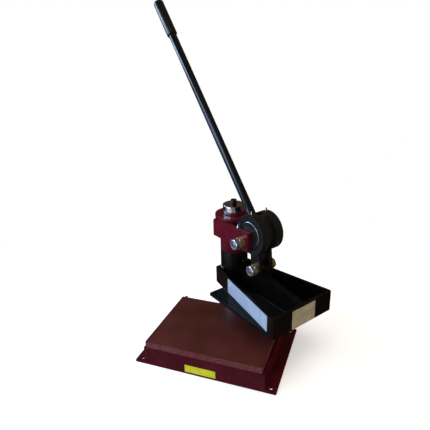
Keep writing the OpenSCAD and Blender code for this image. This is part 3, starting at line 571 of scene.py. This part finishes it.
gridPiece("beam_welds", beamWelds(beamPlan), blackEnamel, "beam")
gridPiece("sleeve_welds", sleeveWelds(beamPlan), leverEnamel, "beam")
gridPiece("head_welds", headWelds(headPlan), maroonEnamel, "head")
gridPiece("base_welds", baseWelds(basePlan), baseEnamel, "base")
gridPiece("strap_welds", strapWelds(strapPlan), blackEnamel, "straps")
print("welds laid")

# bare turned chamfers of the hub faces, in mm: radius of the face, chamfer, stand above the paint, crown
hubRim = {"faceR": 53.0, "chamfer": 2.5, "proud": 0.05, "crown": 0.12, "bury": 0.4, "points": 7}
# ends of the two large bolts in their lock nuts and the rings round them, in mm
boltEnd = {"boltR": 12.7, "chamfer": 1.6, "under": 0.4, "length": 4.0, "dome": 0.3, "clear": 0.1,
           "insertR": 14.6, "insertRise": 0.5, "insertDepth": 1.0, "points": 7}
turnSteps = 120  # steps round a turned piece


def turnedGrid(centre, v, r):
    # closed profile of reach v and radius r carried round an axis that lies across the beam at (u, z)
    a = np.linspace(0.0, 2 * math.pi, turnSteps + 1)[:, None]
    v, r = np.array(v, float)[None, :], np.array(r, float)[None, :]
    return beamPoint(centre[0] + r * np.cos(a), v + 0 * a, centre[1] + r * np.sin(a))


def rimGrids(o):
    # band on each hub face's chamfer: the straight slope lifted by a shallow parabola, ends let into the hub
    face, faceR, c, bury = span("eccentric_hub", nearSide)[1], o["faceR"], o["chamfer"], o["bury"]
    t = np.linspace(0.0, 1.0, o["points"])
    lift = o["proud"] + o["crown"] * 4 * t * (1 - t)
    v = np.concatenate([[face - bury], face - c * t + lift, [face - c]])
    r = np.concatenate([[faceR - c], faceR - c * (1 - t) + lift, [faceR - bury]])
    return [turnedGrid(axisOf("eccentric_hub"), side * v, r) for side in (1, -1)]


def boltEndGrid(nut, o):
    # short round bar with a chamfered, slightly domed end, just below the nut's outer face
    top, barR = span(nut, nearSide)[1] - o["under"], o["boltR"] - o["clear"]
    v = [top - o["length"], top - o["length"], top - o["chamfer"], top - o["dome"], top]
    r = [0, barR, barR, o["boltR"] - o["chamfer"], 0]
    return turnedGrid(axisOf(nut), v, r)


def insertGrid(nut, o):
    # low ring round the bolt, its top crowned by half a sine wave above the nut's outer face
    face, foot = span(nut, nearSide)[1], span(nut, nearSide)[1] - o["insertDepth"]
    t = np.linspace(0.0, math.pi, o["points"])
    inner, outer = o["boltR"] + o["clear"], o["insertR"]
    v = np.concatenate([[foot], face + o["insertRise"] * np.sin(t), [foot]])
    r = np.concatenate([[inner], (inner + outer) / 2 - (outer - inner) / 2 * np.cos(t), [outer]])
    return turnedGrid(axisOf(nut), v, r)


gridPiece("hub_rims", rimGrids(hubRim), rimSteel, "lever")
for nut, body in (("shaft_lock_nut", "head"), ("pin_lock_nut", "straps")):
    gridPiece(body + "_bolt_end", [boltEndGrid(nut, boltEnd)], greyZinc, body)
    gridPiece(body + "_nut_insert", [insertGrid(nut, boltEnd)], nylonInsert, body)
print("rims and bolt ends turned")

# floor, world and lamps, in metres: lamps are name, place, width, height, watts, colour
studio = {"floorHalf": 12.0, "floor": "#f2f2f1", "white": "#ffffff", "fadeFrom": 0.7, "fadeTo": 1.7,
          "ambient": 0.34, "lift": 0.36, "aimHeight": 0.35,
          "lamps": (("coolWindow", (-2.54, 0.18, 1.62), 1.8, 0.9, 33.0, "#c3ddff"),
                    ("paleWindow", (-1.82, -1.6, 1.1), 3.2, 2.1, 70.0, "#c3ddff"),
                    ("softTop", (0.3, -0.6, 3.2), 2.0, 2.0, 33.0, "#fff4e6"),
                    ("frontFill", (-0.9, -2.5, 1.6), 1.2, 1.2, 4.0, "#fff8f0"),
                    ("warmSide", (2.3, 0.9, 1.3), 0.8, 1.2, 16.0, "#ffd2a0"))}


def seenLevel(tree, plain, white):
    # white where the eye, a mirror or glass looks at the background, plain for light that falls on the object
    ray = add(tree, "ShaderNodeLightPath")
    seen = (ray, "Is Camera Ray")
    for kind in ("Is Glossy Ray", "Is Transmission Ray"):
        either = add(tree, "ShaderNodeMath", {"operation": "MAXIMUM"}, {0: seen, 1: (ray, kind)})
        seen = (either, "Value")
    return add(tree, "ShaderNodeMapRange", {"To Min": plain, "To Max": white}, {"Value": seen}), "Result"


def makeFloor(s):
    # paper that turns into plain white away from the object
    h = s["floorHalf"]
    mesh = bpy.data.meshes.new("floor")
    mesh.from_pydata([(-h, -h, 0), (h, -h, 0), (h, h, 0), (-h, h, 0)], [], [(0, 1, 2, 3)])
    floor = newObject("floor", mesh)
    m, tree, shader, spot = newMaterial("paleFloorPaper", {
        "Base Color": linear(s["floor"]), "Roughness": 0.9, "Specular IOR Level": 0.0,
        "Emission Color": linear(s["white"])})
    far = add(tree, "ShaderNodeVectorMath", {"operation": "LENGTH"}, {0: spot["Vector"]})
    fade = add(tree, "ShaderNodeMapRange", {"From Min": s["fadeFrom"], "From Max": s["fadeTo"],
                                            "interpolation_type": "SMOOTHSTEP"}, {"Value": (far, "Value")})
    white = add(tree, "ShaderNodeEmission", links={"Strength": seenLevel(tree, s["ambient"], 1.0)})
    glow, result = seenLevel(tree, 0.0, s["lift"])
    tree.links.new(glow.outputs[result], shader.inputs["Emission Strength"])
    mix = add(tree, "ShaderNodeMixShader",
              links={0: (fade, "Result"), 1: (shader, "BSDF"), 2: (white, "Emission")})
    out = next(n for n in tree.nodes if n.type == "OUTPUT_MATERIAL")
    tree.links.new(mix.outputs["Shader"], out.inputs["Surface"])
    mesh.materials.append(m)


def makeWorld(s):
    world = bpy.data.worlds.new("studio")
    bpy.context.scene.world = world
    world.use_nodes = True
    tree = world.node_tree
    tree.nodes.clear()
    paper = add(tree, "ShaderNodeBackground", {"Color": linear(s["white"])},
                {"Strength": seenLevel(tree, s["ambient"], 1.0)})
    add(tree, "ShaderNodeOutputWorld", links={"Surface": (paper, "Background")})


def makeLamps(s):
    # each lamp looks at a point above the base's middle, and only the windows show in the gloss
    for name, place, wide, high, watts, colour in s["lamps"]:
        data = bpy.data.lights.new(name, "AREA")
        data.shape = "RECTANGLE"
        data.size, data.size_y, data.energy, data.color = wide, high, watts, linear(colour)[:3]
        lamp = newObject(name, data)
        back = np.array(place) - s["aimHeight"] * upward
        back /= np.linalg.norm(back)
        right = np.cross(upward, back)
        right /= np.linalg.norm(right)
        setPlace(lamp, right, np.cross(back, right), back, place)
        lamp.visible_glossy = name.endswith("Window")


# glowing cards round the object, which its gloss alone sees, where they paint reflections of a room: from and to
# in degrees from the base's right, tone, outline as (away, high) in metres; the first paints the floor close by,
# and the last four paint two stretches of floor before the windows, the wall behind them and a white sheet
wallReflectionOutline = ((0.6, 0.001), (2.2, 0.05), (2.4, 2.6), (0.02, 2.9))
lowWallReflectionOutline = wallReflectionOutline[:2] + ((2.3, 0.75),)
floorReflectionOutline = ((0.6, 0.001), (3.6, 0.001))
farWallReflectionOutline = ((3.6, 0.001), (3.6, 2.9), (0.02, 2.9))
paintedReflectionCards = ((0, 360, "#5c432c", ((0.02, 0.001), (0.6, 0.001))), (-98, -62, "#7d776b", wallReflectionOutline),
          (-62, 8, "#3a3730", wallReflectionOutline), (8, 60, "#3c2d1f", wallReflectionOutline), (60, 140, "#503c29", wallReflectionOutline),
          (140, 158, "#2a2119", wallReflectionOutline), (158, 184, "#2a2119", lowWallReflectionOutline), (158, 212, "#76829a", floorReflectionOutline),
          (212, 262, "#d2d8e2", floorReflectionOutline), (158, 262, "#1d1813", farWallReflectionOutline),
          (212, 226, "#ffffff", ((0.95, 0.002), (3.4, 0.002))))
reflectionCardStep = 8  # degrees


def makePaintedReflectionCards(b):
    # outline turned about the upright axis through each stretch into a card that glows in its tone; seen only in
    # the object's gloss, where it paints a reflection
    for number, (fromDeg, toDeg, tone, outline) in enumerate(b):
        away, high = np.array(outline).T
        a = np.radians(np.linspace(fromDeg, toDeg, 2 + abs(toDeg - fromDeg) // reflectionCardStep))[:, None]
        spots = np.stack([np.cos(a) * away, np.sin(a) * away, np.ones_like(a) * high], -1)
        mesh = bpy.data.meshes.new("board%d" % number)
        quads = gridQuads(*spots.shape[:2], around=False)
        mesh.from_pydata(spots.reshape(-1, 3).tolist(), [], quads.tolist())
        reflectionCard = newObject("board%d" % number, mesh)
        # the card is black and glows in its tone: a painted reflection, no lamp
        finish = newMaterial("paintedReflectionGlow%d" % number, {
            "Base Color": linear("#000000"), "Specular IOR Level": 0.0, "Emission Color": linear(tone),
            "Emission Strength": 1.0})[0]
        mesh.materials.append(finish)
        for ray in ("camera", "diffuse", "shadow", "transmission"):
            setattr(reflectionCard, "visible_" + ray, False)


makeFloor(studio)
makeWorld(studio)
makeLamps(studio)
makePaintedReflectionCards(paintedReflectionCards)
bpy.context.scene.view_settings.view_transform = "Standard"
print("studio lit")
